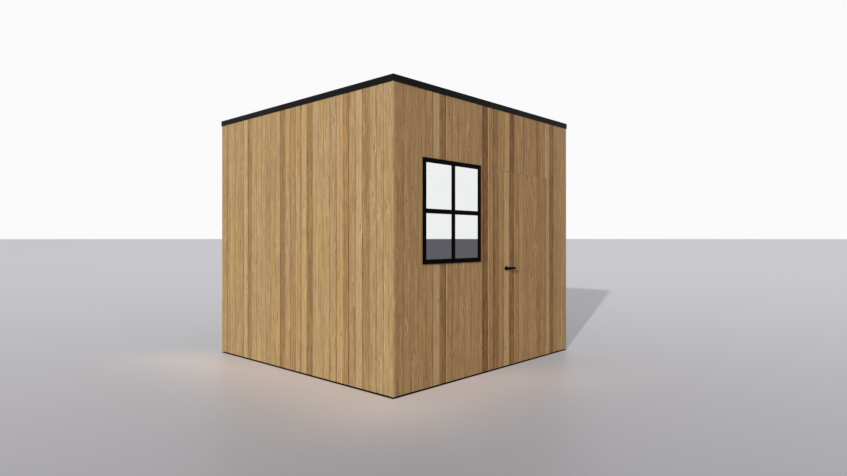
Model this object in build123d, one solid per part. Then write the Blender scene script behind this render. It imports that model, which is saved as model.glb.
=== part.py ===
"""Garden office pod: a timber-clad cube on bearers, with a flat roof, a window and a flush door.

Millimetres. The origin is the middle of the footprint on the ground, Z is up and the front,
with the door and the window, faces -Y. Each node is written to parts/NODE.step.
"""

import os

from build123d import *

# Whole pod, over the cladding and up to the top of the coping
pod_width = 3000.0
pod_depth = 3000.0
pod_height = 2815.0

# Base and floor
bearer_height = 40.0
bearer_width = 70.0
base_setback = 30.0
floor_panel_thickness = 50.0
floor_finish_thickness = 8.0

# Walls
board_thickness = 20.0
board_ground_gap = 12.0
corner_post_face = 30.0
panel_thickness = 132.0

# Front wall: the plain wall beside the window and the door is shared out as piers
left_pier_share = 0.3116
middle_pier_share = 0.278
over_door_height = 456.5

# Roof
roof_panel_thickness = 160.0
kerb_height = 45.0
kerb_width = 45.0
membrane_thickness = 3.0
coping_sheet = 2.5
coping_face = 60.0
coping_projection = 6.0
coping_hem = 8.0
coping_back_leg = 25.0
coping_back_play = 0.5

# Window
window_width = 861.0
window_height = 981.5
window_head_rise = 21.5
window_projection = 12.0
window_face = 40.0
window_depth = 70.0
window_arris = 2.0
glass_thickness = 24.0
glass_setback = 7.0
glass_side_play = 0.3
glass_edge_play = 3.0
glass_groove_depth = 12.0
mullion_width = 45.0
transom_height = 38.0

# Door opening and frame
door_leaf_width = 930.0
door_gap = 6.0
door_jamb = 40.0
door_stop = 18.0
door_stop_play = 6.0
threshold_height = 10.0
threshold_lip = 22.0
threshold_lip_width = 14.0

# Door leaf
leaf_core_thickness = 48.0
leaf_core_floor_play = 8.0
leaf_latch_relief = 4.0

# Continuous hinge
hinge_pin_radius = 2.0
hinge_pin_play = 0.06
hinge_barrel_radius = 4.0
hinge_offset = 3.5
hinge_sheet = 2.0
hinge_leaf_width = 45.0
hinge_leaf_setback = 1.0
hinge_end_gap = 5.0
hinge_knuckles = 17
hinge_knuckle_play = 0.5

# Lever handle
handle_backset = 122.0
handle_level = 1065.0
rose_radius = 23.5
rose_thickness = 8.0
rose_edge = 2.0
lever_radius = 13.5
lever_neck_play = 0.4
lever_face_play = 0.5
lever_reach = 46.0
lever_bend = 18.0
lever_length = 119.5
lever_tip_edge = 3.0
spindle_side = 8.0
spindle_socket = 26.0
spindle_socket_play = 0.1
spindle_hole_radius = 8.0

# Levels
floor_panel_level = bearer_height + floor_panel_thickness
floor_level = floor_panel_level + floor_finish_thickness
kerb_level = pod_height - coping_sheet
deck_level = kerb_level - kerb_height
wall_level = deck_level - roof_panel_thickness
board_top_level = kerb_level - coping_sheet
door_head_level = wall_level - over_door_height - door_jamb
window_head_level = door_head_level + window_head_rise
window_sill_level = window_head_level - window_height

# Plan
half_width = pod_width / 2
half_depth = pod_depth / 2
panel_x = half_width - board_thickness
panel_y = half_depth - board_thickness
room_x = panel_x - panel_thickness
room_y = panel_y - panel_thickness
base_x = half_width - base_setback
base_y = half_depth - base_setback
post_x = half_width - corner_post_face
post_y = half_depth - corner_post_face

# Front wall plan: the door opening is measured between the edges of the wall boards
opening_width = door_leaf_width + 2 * door_gap
plain_wall = pod_width - window_width - opening_width
window_left = plain_wall * left_pier_share - half_width
window_right = window_left + window_width
opening_left = window_right + plain_wall * middle_pier_share
opening_right = opening_left + opening_width

# Door plan
leaf_left = opening_left + door_gap
leaf_right = opening_right - door_gap
leaf_top = door_head_level - door_gap
leaf_back_y = -panel_y + leaf_core_thickness
stop_y = leaf_back_y + door_stop_play
threshold_level = floor_panel_level + threshold_height
core_bottom = threshold_level + leaf_core_floor_play
handle_x = leaf_left + handle_backset

# Window depth
window_front_y = -half_depth - window_projection
groove_start = glass_setback
groove_end = glass_setback + glass_thickness + 2 * glass_side_play

UP = (0, 0, 1)
DOWN = (0, 0, -1)
RIGHT = (1, 0, 0)
LEFT = (-1, 0, 0)
BACK = (0, 1, 0)
FRONT = (0, -1, 0)


def slab(low, high):
    """A plain board or panel between two opposite corners."""
    size = [top - bottom for bottom, top in zip(low, high)]
    return Pos(*low) * Box(*size, align=(Align.MIN, Align.MIN, Align.MIN))


def framing_bar(start, along, depth, outline, length, mitred):
    """A length of profile with its ends mitred into the frame, or square.

    The outline's first coordinate runs inward across the frame and its second along depth.
    """
    reach = max(point[0] for point in outline)
    front = min(point[1] for point in outline)
    back = max(point[1] for point in outline)
    bar = extrude(Plane.YZ * Polygon(*outline), amount=length)
    near = reach if mitred[0] else 0
    far = length - reach if mitred[1] else length
    cut = Polygon((0, 0), (length, 0), (far, reach), (near, reach))
    bar = bar & extrude(Plane.XY.offset(front) * cut, amount=back - front)
    return Plane(origin=start, x_dir=along, z_dir=depth) * bar


def base_and_floor():
    """Bearers on the ground, the floor panel they carry and the finish laid between the walls."""
    side_y = base_y - bearer_width
    side_x = base_x - bearer_width
    middle = bearer_width / 2
    cross = [
        slab((-base_x, -base_y, 0), (base_x, -side_y, bearer_height)),
        slab((-side_x, -middle, 0), (side_x, middle, bearer_height)),
        slab((-base_x, side_y, 0), (base_x, base_y, bearer_height)),
    ]
    sides = [
        slab((-base_x, -side_y, 0), (-side_x, side_y, bearer_height)),
        slab((side_x, -side_y, 0), (base_x, side_y, bearer_height)),
    ]
    return {
        "base_cross_bearers": Compound(children=cross),
        "base_side_bearers": Compound(children=sides),
        "floor_panel": slab((-base_x, -base_y, bearer_height), (base_x, base_y, floor_panel_level)),
        "floor_finish": slab((-room_x, -room_y, floor_panel_level), (room_x, room_y, floor_level)),
    }


def window_hole(front, back):
    """The hole that the window frame fills, through the front wall between two depths."""
    return slab((window_left, front, window_sill_level), (window_right, back, window_head_level))


def walls():
    """Insulated panels; the front one is split beside and over the doorway."""
    latch_cut = opening_left - door_jamb
    hinge_cut = opening_right + door_jamb
    head_cut = door_head_level + door_jamb
    foot = floor_panel_level
    window_panel = slab((-room_x, -panel_y, foot), (latch_cut, -room_y, wall_level))
    return {
        "left_wall_panel": slab((-panel_x, -panel_y, foot), (-room_x, panel_y, wall_level)),
        "right_wall_panel": slab((room_x, -panel_y, foot), (panel_x, panel_y, wall_level)),
        "back_wall_panel": slab((-room_x, room_y, foot), (room_x, panel_y, wall_level)),
        "front_wall_window_panel": window_panel - window_hole(-panel_y, -room_y),
        "front_wall_hinge_panel": slab(
            (hinge_cut, -panel_y, foot), (room_x, -room_y, wall_level)
        ),
        "front_wall_over_door": slab(
            (latch_cut, -panel_y, head_cut), (hinge_cut, -room_y, wall_level)
        ),
    }


def cladding():
    """Board skins on the four faces, running past the floor edge and up behind the coping."""
    foot = board_ground_gap
    top = board_top_level
    window_side = slab((-post_x, -half_depth, foot), (opening_left, -panel_y, top))
    return {
        "left_cladding": slab((-half_width, -post_y, foot), (-panel_x, post_y, top)),
        "right_cladding": slab((panel_x, -post_y, foot), (half_width, post_y, top)),
        "back_cladding": slab((-post_x, panel_y, foot), (post_x, half_depth, top)),
        "front_cladding_window_side": window_side - window_hole(-half_depth, -panel_y),
        "front_cladding_hinge_side": slab(
            (opening_right, -half_depth, foot), (post_x, -panel_y, top)
        ),
        "front_cladding_over_door": slab(
            (opening_left, -half_depth, door_head_level), (opening_right, -panel_y, top)
        ),
    }


def corner_posts():
    """Square posts rebated over the panel corners, closing the ends of the boards."""
    outline = Polygon(
        (0, 0),
        (corner_post_face, 0),
        (corner_post_face, board_thickness),
        (board_thickness, board_thickness),
        (board_thickness, corner_post_face),
        (0, corner_post_face),
    )
    post = extrude(outline, amount=board_top_level - board_ground_gap)
    corners = {
        "corner_post_front_left": ((-half_width, -half_depth), 0),
        "corner_post_front_right": ((half_width, -half_depth), 90),
        "corner_post_back_right": ((half_width, half_depth), 180),
        "corner_post_back_left": ((-half_width, half_depth), 270),
    }
    return {
        name: Pos(*place, board_ground_gap) * Rot(Z=turn) * post
        for name, (place, turn) in corners.items()
    }


def roof():
    """Roof panel with a kerb round it, the membrane tray inside the kerb and the mitred coping."""
    tray_x = panel_x - kerb_width
    tray_y = panel_y - kerb_width
    panel = slab((-panel_x, -panel_y, wall_level), (panel_x, panel_y, kerb_level))
    panel -= slab((-tray_x, -tray_y, deck_level), (tray_x, tray_y, kerb_level))
    dish_x = tray_x - membrane_thickness
    dish_y = tray_y - membrane_thickness
    dish_level = deck_level + membrane_thickness
    membrane = slab((-tray_x, -tray_y, deck_level), (tray_x, tray_y, kerb_level))
    membrane -= slab((-dish_x, -dish_y, dish_level), (dish_x, dish_y, kerb_level))

    # The coping's outline runs inward from its front face and up to its top.
    front = coping_sheet
    hem = coping_projection - coping_back_play
    back_out = coping_projection + half_width - dish_x + coping_back_play
    back_in = back_out + coping_sheet
    under = -coping_sheet
    outline = [
        (0, 0),
        (0, -coping_face),
        (hem, -coping_face),
        (hem, -coping_face + coping_sheet),
        (front, -coping_face + coping_hem),
        (front, under),
        (back_out, under),
        (back_out, -coping_back_leg),
        (back_in, -coping_back_leg),
        (back_in, 0),
    ]
    out_x = half_width + coping_projection
    out_y = half_depth + coping_projection
    sides = {
        "coping_front": ((-out_x, -out_y), RIGHT, 2 * out_x),
        "coping_right": ((out_x, -out_y), BACK, 2 * out_y),
        "coping_back": ((out_x, out_y), LEFT, 2 * out_x),
        "coping_left": ((-out_x, out_y), FRONT, 2 * out_y),
    }
    nodes = {"roof_panel": panel, "roof_membrane": membrane}
    for name, (corner, along, length) in sides.items():
        start = (*corner, pod_height)
        nodes[name] = framing_bar(start, along, UP, outline, length, (True, True))
    return nodes


def glazing_outline():
    """Frame profile: an outer lip with eased edges, the glazing groove and the inner lip."""
    groove = window_face - glass_groove_depth
    return [
        (0, 0),
        (window_face - window_arris, 0),
        (window_face, window_arris),
        (window_face, groove_start),
        (groove, groove_start),
        (groove, groove_end),
        (window_face, groove_end),
        (window_face, window_depth - window_arris),
        (window_face - window_arris, window_depth),
        (0, window_depth),
    ]


def glazing_bar_outline(width):
    """Mullion or transom profile: the same lips and groove on both of its sides."""
    half = width / 2
    groove = half - glass_groove_depth
    side = [
        (half - window_arris, 0),
        (half, window_arris),
        (half, groove_start),
        (groove, groove_start),
        (groove, groove_end),
        (half, groove_end),
        (half, window_depth - window_arris),
        (half - window_arris, window_depth),
    ]
    return side + [(-across, depth) for across, depth in reversed(side)]


def glazing_bar(start, along, width, length):
    """A straight mullion or transom, cut square between the members it joins."""
    bar = extrude(Plane.YZ * Polygon(*glazing_bar_outline(width)), amount=length)
    return Plane(origin=start, x_dir=along, z_dir=BACK) * bar


def window():
    """Mitred frame, mullion, transom halves and the four panes held in the grooves."""
    outline = glazing_outline()
    low = window_sill_level
    high = window_head_level
    y = window_front_y
    mitred = (True, True)
    nodes = {
        "window_frame_head": framing_bar(
            (window_left, y, high), RIGHT, BACK, outline, window_width, mitred
        ),
        "window_frame_sill": framing_bar(
            (window_right, y, low), LEFT, BACK, outline, window_width, mitred
        ),
        "window_frame_left": framing_bar(
            (window_left, y, low), UP, BACK, outline, window_height, mitred
        ),
        "window_frame_right": framing_bar(
            (window_right, y, high), DOWN, BACK, outline, window_height, mitred
        ),
    }
    middle_x = (window_left + window_right) / 2
    middle_z = (low + high) / 2
    clear_low = low + window_face
    clear_high = high - window_face
    clear_left = window_left + window_face
    clear_right = window_right - window_face
    bar_left = middle_x - mullion_width / 2
    bar_right = middle_x + mullion_width / 2
    nodes["window_mullion"] = glazing_bar(
        (middle_x, y, clear_low), UP, mullion_width, clear_high - clear_low
    )
    spans = [(clear_left, bar_left), (bar_right, clear_right)]
    lift = transom_height / 2
    rows = [(clear_low, middle_z - lift), (middle_z + lift, clear_high)]
    glass_y = y + groove_start + glass_side_play
    tuck = glass_groove_depth - glass_edge_play
    transoms = [
        glazing_bar((left, y, middle_z), RIGHT, transom_height, right - left)
        for left, right in spans
    ]
    panes = [
        slab(
            (left - tuck, glass_y, bottom - tuck),
            (right + tuck, glass_y + glass_thickness, top + tuck),
        )
        for left, right in spans
        for bottom, top in rows
    ]
    nodes["window_transoms"] = Compound(children=transoms)
    nodes["window_panes"] = Compound(children=panes)
    return nodes


def door_frame():
    """Rebated jambs and head, mitred at the top, and the threshold scribed between them."""
    rebate = stop_y + panel_y
    outline = [
        (0, 0),
        (door_jamb, 0),
        (door_jamb, rebate),
        (door_jamb + door_stop, rebate),
        (door_jamb + door_stop, panel_thickness),
        (0, panel_thickness),
    ]
    left = opening_left - door_jamb
    right = opening_right + door_jamb
    top = door_head_level + door_jamb
    height = top - floor_panel_level
    latch_jamb = framing_bar(
        (left, -panel_y, floor_panel_level), UP, BACK, outline, height, (False, True)
    )
    head = framing_bar((left, -panel_y, top), RIGHT, BACK, outline, right - left, (True, True))
    hinge_jamb = framing_bar(
        (right, -panel_y, top), DOWN, BACK, outline, height, (True, False)
    )
    lip_end = stop_y + threshold_lip_width
    section = Polygon(
        (-base_y, floor_panel_level),
        (-room_y, floor_panel_level),
        (-room_y, floor_level),
        (lip_end, floor_panel_level + threshold_lip),
        (stop_y, floor_panel_level + threshold_lip),
        (stop_y, threshold_level),
        (-base_y, threshold_level),
    )
    sill = extrude(Plane.YZ.offset(opening_left) * section, amount=opening_right - opening_left)
    return {
        "door_jamb_latch": latch_jamb,
        "door_frame_head": head,
        "door_jamb_hinge": hinge_jamb,
        "door_threshold": sill - latch_jamb - hinge_jamb,
    }


def door_leaf():
    """Leaf core behind its board skin, which runs down over the floor edge like the wall boards."""
    bore = Plane(origin=(handle_x, -half_depth, handle_level), z_dir=BACK)
    depth = board_thickness + leaf_core_thickness
    hole = bore * extrude(Circle(spindle_hole_radius), amount=depth)
    core_left = leaf_left + leaf_latch_relief
    core = slab((core_left, -panel_y, core_bottom), (leaf_right, leaf_back_y, leaf_top))
    skin = slab((leaf_left, -half_depth, board_ground_gap), (leaf_right, -panel_y, leaf_top))
    return {"door_leaf": core - hole, "door_cladding": skin - hole}


def hinge():
    """Continuous hinge in the gap beside the leaf: plates, interleaved knuckles and the pin."""
    low = core_bottom + hinge_end_gap
    high = leaf_top - hinge_end_gap
    pitch = (high - low) / hinge_knuckles
    pin_x = (leaf_right + opening_right) / 2
    pin_y = -half_depth - hinge_offset
    plate_y = pin_y + hinge_barrel_radius + hinge_leaf_setback
    plate_end = -half_depth + hinge_leaf_width
    frame_plate = (opening_right - hinge_sheet, opening_right)
    door_plate = (leaf_right, leaf_right + hinge_sheet)

    def barrel(radius, bottom, top):
        return Pos(pin_x, pin_y, bottom) * extrude(Circle(radius), amount=top - bottom)

    def knuckle(index, plate):
        bottom = low + index * pitch + hinge_knuckle_play / 2
        top = bottom + pitch - hinge_knuckle_play
        tab = slab((plate[0], pin_y, bottom), (plate[1], plate_y, top))
        return [barrel(hinge_barrel_radius, bottom, top), tab]

    fixed = [slab((frame_plate[0], plate_y, low), (frame_plate[1], plate_end, high))]
    moving = [slab((door_plate[0], plate_y, low), (door_plate[1], plate_end, high))]
    for index in range(hinge_knuckles):
        if index % 2:
            moving += knuckle(index, door_plate)
        else:
            fixed += knuckle(index, frame_plate)
    pin = barrel(hinge_pin_radius, low, high)
    bore = barrel(hinge_pin_radius + hinge_pin_play, low, high)
    return {
        "hinge_frame_leaf": Part() + fixed + pin,
        "hinge_door_leaf": Part() + moving - bore,
    }


def handle():
    """Roses on both faces and round-bar levers, the outer one carrying the square spindle."""
    outer = Plane(origin=(handle_x, -half_depth, handle_level), x_dir=RIGHT, z_dir=FRONT)
    inner = Plane(origin=(handle_x, leaf_back_y, handle_level), x_dir=RIGHT, z_dir=BACK)
    rose = extrude(Circle(rose_radius), amount=rose_thickness)
    rose = chamfer(rose.edges().group_by(Axis.Z)[-1], length=rose_edge)
    rose -= extrude(Circle(lever_radius + lever_neck_play), amount=rose_thickness)

    path = FilletPolyline(
        (0, 0, lever_face_play),
        (0, 0, lever_reach),
        (lever_length - lever_radius, 0, lever_reach),
        radius=lever_bend,
    )
    bar = sweep(Plane(origin=path @ 0, z_dir=path % 0) * Circle(lever_radius), path=path)
    tip = bar.faces().sort_by(Axis.X)[-1]
    bar = chamfer(tip.edges(), length=lever_tip_edge)

    leaf_depth = board_thickness + leaf_core_thickness
    inner_end = leaf_depth + spindle_socket
    spindle = Plane.XY.offset(spindle_socket) * Rectangle(spindle_side, spindle_side)
    spindle = extrude(spindle, amount=-(inner_end + spindle_socket))
    socket_side = spindle_side + 2 * spindle_socket_play
    socket_depth = spindle_socket + spindle_socket_play
    socket = extrude(Rectangle(socket_side, socket_side), amount=socket_depth)
    return {
        "rose_outside": outer * rose,
        "rose_inside": inner * rose,
        "lever_outside": outer * (bar + spindle),
        "lever_inside": inner * (bar - socket),
    }


def main():
    """Writes one file for each node of the pod."""
    os.makedirs("parts", exist_ok=True)
    groups = (
        base_and_floor,
        walls,
        cladding,
        corner_posts,
        roof,
        window,
        door_frame,
        door_leaf,
        hinge,
        handle,
    )
    for group in groups:
        for name, shape in group().items():
            export_step(shape, f"parts/{name}.step")


main()
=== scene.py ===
"""Garden office pod: boards, metalwork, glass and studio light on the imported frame.

Metres, in the frame of the CAD model: the front, with the door and the window, faces -Y.
"""

import logging
import math
import random
from collections.abc import Iterable, Mapping, Sequence
from dataclasses import dataclass, field, fields, replace
from enum import Enum
from typing import Union

import bmesh
import bpy
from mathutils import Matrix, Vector


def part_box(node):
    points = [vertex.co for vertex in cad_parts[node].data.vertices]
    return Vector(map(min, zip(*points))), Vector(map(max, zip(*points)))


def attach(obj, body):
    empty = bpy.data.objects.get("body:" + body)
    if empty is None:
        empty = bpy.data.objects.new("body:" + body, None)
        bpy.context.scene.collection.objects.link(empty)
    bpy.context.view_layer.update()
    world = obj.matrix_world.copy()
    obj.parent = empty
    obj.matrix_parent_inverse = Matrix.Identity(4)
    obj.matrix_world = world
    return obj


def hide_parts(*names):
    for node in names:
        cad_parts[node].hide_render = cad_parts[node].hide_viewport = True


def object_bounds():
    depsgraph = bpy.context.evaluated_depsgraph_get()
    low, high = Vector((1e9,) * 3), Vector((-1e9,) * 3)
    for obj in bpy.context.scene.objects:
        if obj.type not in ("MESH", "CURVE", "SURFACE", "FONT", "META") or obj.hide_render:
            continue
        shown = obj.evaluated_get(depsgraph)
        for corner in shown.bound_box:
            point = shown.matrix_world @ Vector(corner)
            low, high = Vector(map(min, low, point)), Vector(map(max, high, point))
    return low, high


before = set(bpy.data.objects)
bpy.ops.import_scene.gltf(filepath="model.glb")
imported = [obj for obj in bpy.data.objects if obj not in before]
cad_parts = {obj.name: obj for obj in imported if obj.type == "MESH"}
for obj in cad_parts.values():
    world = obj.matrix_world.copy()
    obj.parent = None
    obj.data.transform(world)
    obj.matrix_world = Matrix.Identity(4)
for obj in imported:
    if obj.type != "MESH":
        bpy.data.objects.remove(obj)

LOG = logging.getLogger("garden_pod")
CAD_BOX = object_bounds()

# What a noise and the paleness of the boards vary around
NOISE_MIDDLE = 0.5
MIDDLE_PALENESS = 0.69
# Nearest and furthest metre of the grain, either way, that a board is cut at
GRAIN_SPAN = (3.0, 60.0)
# The bevel that eases the edges of CAD nodes
EASED_SEGMENTS = 2
EASED_ANGLE = math.radians(40)

Colour = tuple[float, float, float]
Scale = tuple[float, float, float]
Direction = tuple[float, float, float]
Span = tuple[float, float]
Point2 = tuple[float, float]
GrainPoint = tuple[float, float, float]
Scalar = Union["Socket", float]


def paint(red: int, green: int, blue: int) -> Colour:
    """Turn a colour as it is seen on a screen into the linear one that a shader takes.

    Args:
        red: Red from 0 to 255.
        green: Green from 0 to 255.
        blue: Blue from 0 to 255.

    Returns:
        The linear colour.
    """
    shares = (channel / 255 for channel in (red, green, blue))
    return tuple(
        share / 12.92 if share <= 0.04045 else ((share + 0.055) / 1.055) ** 2.4
        for share in shares
    )


class Socket:
    """One output of a shader node, which takes part in plain arithmetic."""

    def __init__(self, tree: "ShaderTree", socket: bpy.types.NodeSocket) -> None:
        """Wrap an output socket of a tree."""
        self.tree = tree
        self.socket = socket

    def other(self, output: str) -> "Socket":
        """Return another output of the same node."""
        return Socket(self.tree, self.socket.node.outputs[output])

    def _math(self, operation: str, first: Scalar, second: Scalar) -> "Socket":
        """Add one Math node on two values."""
        return self.tree.node("ShaderNodeMath", {"operation": operation}, {0: first, 1: second})

    def __add__(self, value: Scalar) -> "Socket":
        """Add."""
        return self._math("ADD", self, value)

    def __radd__(self, value: Scalar) -> "Socket":
        """Add to a number."""
        return self._math("ADD", value, self)

    def __sub__(self, value: Scalar) -> "Socket":
        """Subtract."""
        return self._math("SUBTRACT", self, value)

    def __rsub__(self, value: Scalar) -> "Socket":
        """Subtract from a number."""
        return self._math("SUBTRACT", value, self)

    def __mul__(self, value: Scalar) -> "Socket":
        """Multiply."""
        return self._math("MULTIPLY", self, value)

    def __rmul__(self, value: Scalar) -> "Socket":
        """Multiply a number."""
        return self._math("MULTIPLY", value, self)

    def swing(self, amount: float) -> "Socket":
        """Turn a noise around its middle into one around 0, scaled by an amount."""
        return (self - NOISE_MIDDLE) * amount


SocketValue = Union[Socket, float, tuple]


class ShaderTree:
    """The nodes of one material or of the world."""

    def __init__(self, nodes: bpy.types.NodeTree) -> None:
        """Start from an empty tree."""
        self.nodes = nodes
        self.nodes.nodes.clear()

    def node(
        self,
        kind: str,
        settings: Mapping[str, object] | None = None,
        sockets: Mapping[str | int, SocketValue] | None = None,
        output: str | int = 0,
    ) -> Socket | None:
        """Add one node.

        Args:
            kind: The node's type.
            settings: Its own settings, which are set first.
            sockets: Numbers, colours or other sockets for its inputs.
            output: The output that is wanted.

        Returns:
            That output, or None for a node without outputs.
        """
        made = self.nodes.nodes.new(kind)
        for name, value in (settings or {}).items():
            setattr(made, name, value)
        for name, value in (sockets or {}).items():
            if isinstance(value, Socket):
                self.nodes.links.new(value.socket, made.inputs[name])
            else:
                target = made.inputs[name]
                target.default_value = self._fit(target, value)
        return Socket(self, made.outputs[output]) if made.outputs else None

    @staticmethod
    def _fit(target: bpy.types.NodeSocket, value: float | tuple) -> float | tuple:
        """Give a colour its fourth channel where the socket has one."""
        return (*value, 1.0) if target.type == "RGBA" and len(value) == 3 else value

    def mix(
        self, share: Scalar, first: SocketValue, second: SocketValue, blend: str = "MIX"
    ) -> Socket:
        """Mix two colours.

        Args:
            share: Share of the second colour.
            first: The first colour.
            second: The second colour.
            blend: How the second colour goes over the first.

        Returns:
            The mixed colour.
        """
        settings = {"data_type": "RGBA", "clamp_factor": True, "blend_type": blend}
        return self.node("ShaderNodeMix", settings, {0: share, 6: first, 7: second}, output=2)

    def stain(self, share: Scalar, colour: SocketValue, tint: Colour) -> Socket:
        """Tint a colour by a share without flattening what is in it."""
        return self.mix(share, colour, tint, "MULTIPLY")

    def lighten(self, colour: SocketValue, amount: Scalar) -> Socket:
        """Scale a colour by an amount, 1 leaving it as it is."""
        return self.node("ShaderNodeHueSaturation", {}, {"Value": amount, "Color": colour})

    def vector(
        self, operation: str, first: SocketValue, second: SocketValue | None = None
    ) -> Socket:
        """Add one Vector Math node.

        Args:
            operation: What it does.
            first: The first vector.
            second: The second vector, where the operation takes one.

        Returns:
            The new vector, or the value of a length or a dot product.
        """
        output = "Value" if operation in {"LENGTH", "DOT_PRODUCT"} else "Vector"
        settings = {"operation": operation}
        sockets = {0: first} if second is None else {0: first, 1: second}
        return self.node("ShaderNodeVectorMath", settings, sockets, output)

    def step(self, value: Socket, low: float, high: float) -> Socket:
        """Rise smoothly from 0 to 1.

        Args:
            value: The value that is looked at.
            low: Where the rise begins.
            high: Where it ends.

        Returns:
            A value from 0 to 1.
        """
        settings = {"interpolation_type": "SMOOTHSTEP"}
        return self.node(
            "ShaderNodeMapRange", settings, {"Value": value, "From Min": low, "From Max": high}
        )

    def noise(self, place: Socket, scale: Scale, detail: float) -> Socket:
        """Noise stretched along an axis.

        Args:
            place: The coordinates.
            scale: Grains a metre along each axis.
            detail: How many finer layers are added.

        Returns:
            A value around 0.5.
        """
        stretched = self.vector("MULTIPLY", place, scale)
        return self.node(
            "ShaderNodeTexNoise", {}, {"Vector": stretched, "Scale": 1.0, "Detail": detail}
        )

    def bump(self, height: Scalar, strength: float, distance: float) -> Socket:
        """Turn a height into a normal."""
        sockets = {"Height": height, "Strength": strength, "Distance": distance}
        return self.node("ShaderNodeBump", {}, sockets)

    def principled(self, sockets: Mapping[str, SocketValue]) -> Socket:
        """Add the shader that every surface ends in."""
        return self.node("ShaderNodeBsdfPrincipled", {}, sockets)

    def place(self) -> Socket:
        """Coordinates that stay with the piece when it moves."""
        return self.node("ShaderNodeTexCoord", output="Object")


@dataclass(frozen=True)
class Finish:
    """A surface finish with the record's slot that it belongs to."""

    name: str
    slot: str

    def shader(self, tree: ShaderTree) -> Socket:
        """Add the finish's nodes to a tree and return its shader."""
        raise NotImplementedError

    def material(self) -> bpy.types.Material:
        """Make the material at the first call.

        Returns:
            The material, the same one each time.
        """
        made = bpy.data.materials.get(self.name)
        if made is None:
            made = bpy.data.materials.new(self.name)
            made.use_nodes = True
            tree = ShaderTree(made.node_tree)
            shader = self.shader(tree)
            tree.node("ShaderNodeOutputMaterial", {}, {"Surface": shader})
        return made


@dataclass(frozen=True)
class Shade:
    """How pale, how warm and how golden one board is, and how strong the painted highlight and
    shade along its edges are.
    """

    paleness: float
    warmth: float
    gold: float = 0.0
    # Painted highlight along the right edge and painted shade along the left one, or the reverse
    # below 0
    sapwood: float = 0.0

    def shifted(
        self, paleness: float, warmth: float = 0.0, gold: float = 0.0, contrast: float = 1.0
    ) -> "Shade":
        """Return this shade made paler, warmer and more golden, and further from the middle tone.

        Args:
            paleness: How much paler.
            warmth: How much warmer.
            gold: How much more golden.
            contrast: How many times as far from the middle tone.

        Returns:
            The new shade.
        """
        spread = (self.paleness - MIDDLE_PALENESS) * contrast
        return replace(
            self,
            paleness=MIDDLE_PALENESS + spread + paleness,
            warmth=self.warmth + warmth,
            gold=self.gold + gold,
        )

    def edged(self, sapwood: float) -> "Shade":
        """Return this shade with a painted highlight along its right edge and painted shade along
        its left one, or the reverse.
        """
        return replace(self, sapwood=sapwood)


class Tone(Enum):
    """The tones that the boards come in."""

    PALE = Shade(0.90, 0.0, -0.20)
    STRAW = Shade(0.92, 0.0, 0.45)
    HONEY = Shade(0.75, 0.20, 0.30)
    TAN = Shade(0.72, 0.15)
    RUSSET = Shade(0.60, 0.70)
    BROWN = Shade(0.52, 0.45)
    DARK = Shade(0.40, 0.45)
    # Painted shade in the joints, on the sides of the boards and on the tongues, darker than any
    # board
    GROOVE = Shade(-1.0, 0.60)


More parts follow.
